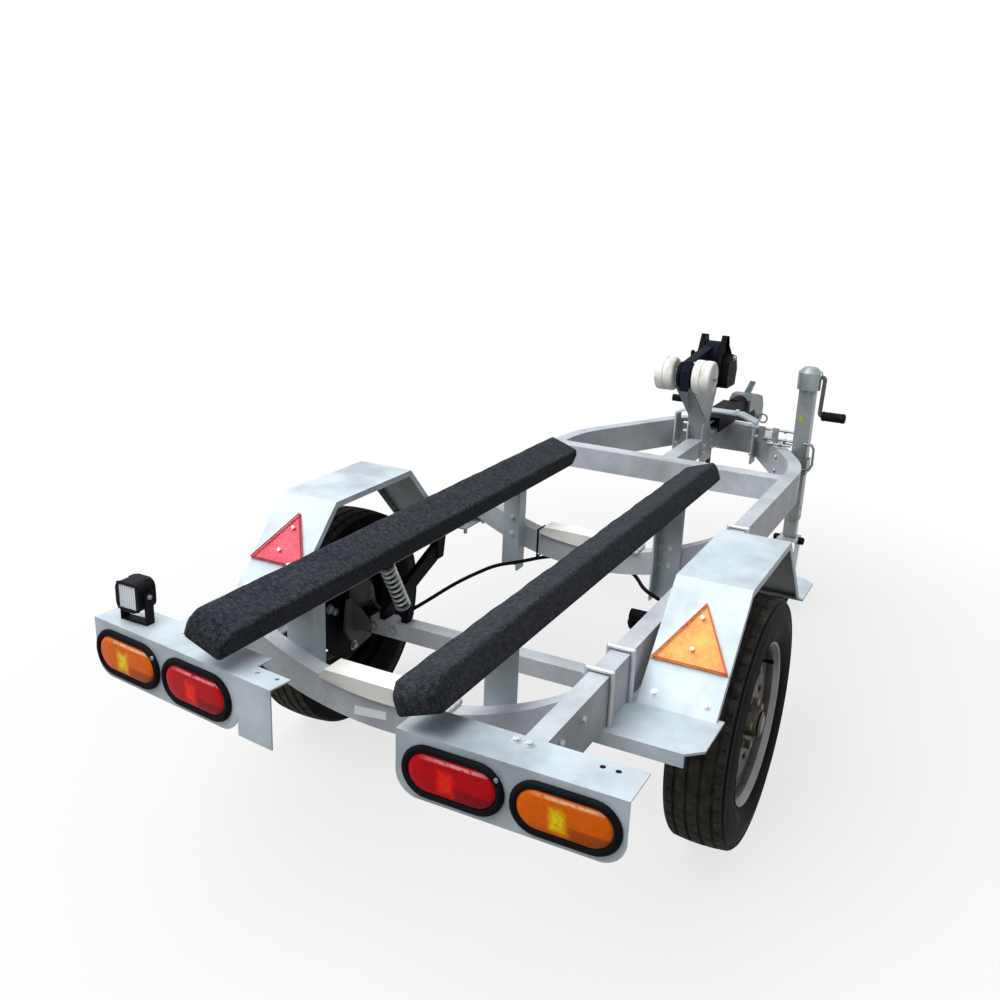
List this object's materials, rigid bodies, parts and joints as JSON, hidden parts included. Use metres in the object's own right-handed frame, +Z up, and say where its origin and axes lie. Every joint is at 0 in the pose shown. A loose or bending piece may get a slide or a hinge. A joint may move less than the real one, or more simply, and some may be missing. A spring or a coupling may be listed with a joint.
{
  "type": "boat trailer",
  "caption": "Small galvanised single-axle trailer with a rounded hoop frame, carpeted bunks, fenders, bow rollers, winch, braked coupling and jockey wheel.",
  "frame": {"origin": "on the ground, under the middle of the trailer's overall box", "axes": "+X to the right, +Y ahead towards the coupling, +Z up"},
  "size_m": [1.198, 2.955, 0.916],
  "materials": {
    "galvanised": "hot-dip galvanised",
    "zinc": "zinc plated",
    "black_paint": "satin black",
    "silver_paint": "silver paint",
    "cream_plastic": "matte",
    "carpet": "charcoal carpet over timber",
    "black_rubber": "matte",
    "white_rubber": "satin",
    "tyre": "matte",
    "red_lens": "moulded lens",
    "amber_lens": "moulded lens",
    "orange_reflector": "moulded prism reflector with a red rim",
    "red_reflector": "moulded prism reflector with a paler rim",
    "black_plastic": "moulded",
    "clear_lens": "clear moulded lens",
    "navy_web": "woven webbing"
  },
  "bodies": {
    "frame": {"arm_brackets": "black_paint", "axle_beam": "galvanised", "brake_back_plates": "black_paint", "brake_cables": "black_rubber", "brake_rod": "zinc", "breakaway_ring": "zinc", "bunk_brackets": "galvanised", "bunk_left": "carpet", "bunk_right": "carpet", "coupling_arch": "galvanised", "coupling_bellows": "black_rubber", "coupling_head": "zinc", "coupling_housing": "galvanised", "coupling_lever": "zinc", "dampers": "zinc", "fender_feet": "galvanised", "fender_left": "galvanised", "fender_right": "galvanised", "frame_rail_left": "galvanised", "frame_rail_right": "galvanised", "front_bow_member": "galvanised", "front_cross_member": "galvanised", "jack_clamp": "zinc", "jack_crank": "zinc", "jack_crank_grip": "black_rubber", "jack_gear_head": "zinc", "jack_tube": "zinc", "keel_beam": "galvanised", "keel_pads": "cream_plastic", "lamp_board_left": "galvanised", "lamp_board_right": "galvanised", "lamp_lenses_amber": "amber_lens", "lamp_lenses_red": "red_lens", "lamp_surrounds": "black_rubber", "number_plate_bracket": "galvanised", "rear_bow_member": "galvanised", "reflector_left": "red_reflector", "reflector_right": "orange_reflector", "springs": "zinc", "suspension_arms": "black_paint", "u_bolts": "zinc", "winch_frame": "black_paint", "winch_handle": "zinc", "winch_post": "galvanised", "winch_strap": "navy_web", "work_lamp": "black_plastic", "work_lamp_lens": "clear_lens"},
    "wheel_left": {"tyre_left": "tyre", "wheel_rim_left": "silver_paint", "brake_drum_left": "black_paint"},
    "wheel_right": {"tyre_right": "tyre", "wheel_rim_right": "silver_paint", "brake_drum_right": "black_paint"},
    "bow_rollers": {"bow_rollers_white": "white_rubber", "bow_roller_centre": "black_rubber"},
    "jack_leg": {"jack_leg": "zinc"},
    "jack_fork": {"jack_fork": "black_paint"},
    "jockey_wheel": {"jockey_wheel": "black_rubber"}
  },
  "joints": [
    {"name": "wheel_left_spin", "type": "hinge", "parent": "frame", "child": "wheel_left", "pos_m": [-0.528, -0.6425, 0.283], "axis": [1, 0, 0], "continuous": true},
    {"name": "wheel_right_spin", "type": "hinge", "parent": "frame", "child": "wheel_right", "pos_m": [0.528, -0.6425, 0.283], "axis": [1, 0, 0], "continuous": true},
    {"name": "bow_roller_spin", "type": "hinge", "parent": "frame", "child": "bow_rollers", "pos_m": [0, 0.5135, 0.808], "axis": [1, 0, 0], "continuous": true},
    {"name": "jack_raise", "type": "slide", "parent": "frame", "child": "jack_leg", "axis": [0, 0, 1], "range_m": [0, 0.055]},
    {"name": "jockey_swivel", "type": "hinge", "parent": "jack_leg", "child": "jack_fork", "pos_m": [0.345, 0.7575, 0.2], "axis": [0, 0, 1], "continuous": true},
    {"name": "jockey_spin", "type": "hinge", "parent": "jack_fork", "child": "jockey_wheel", "pos_m": [0.345, 0.7335, 0.1], "axis": [1, 0, 0], "continuous": true}
  ]
}
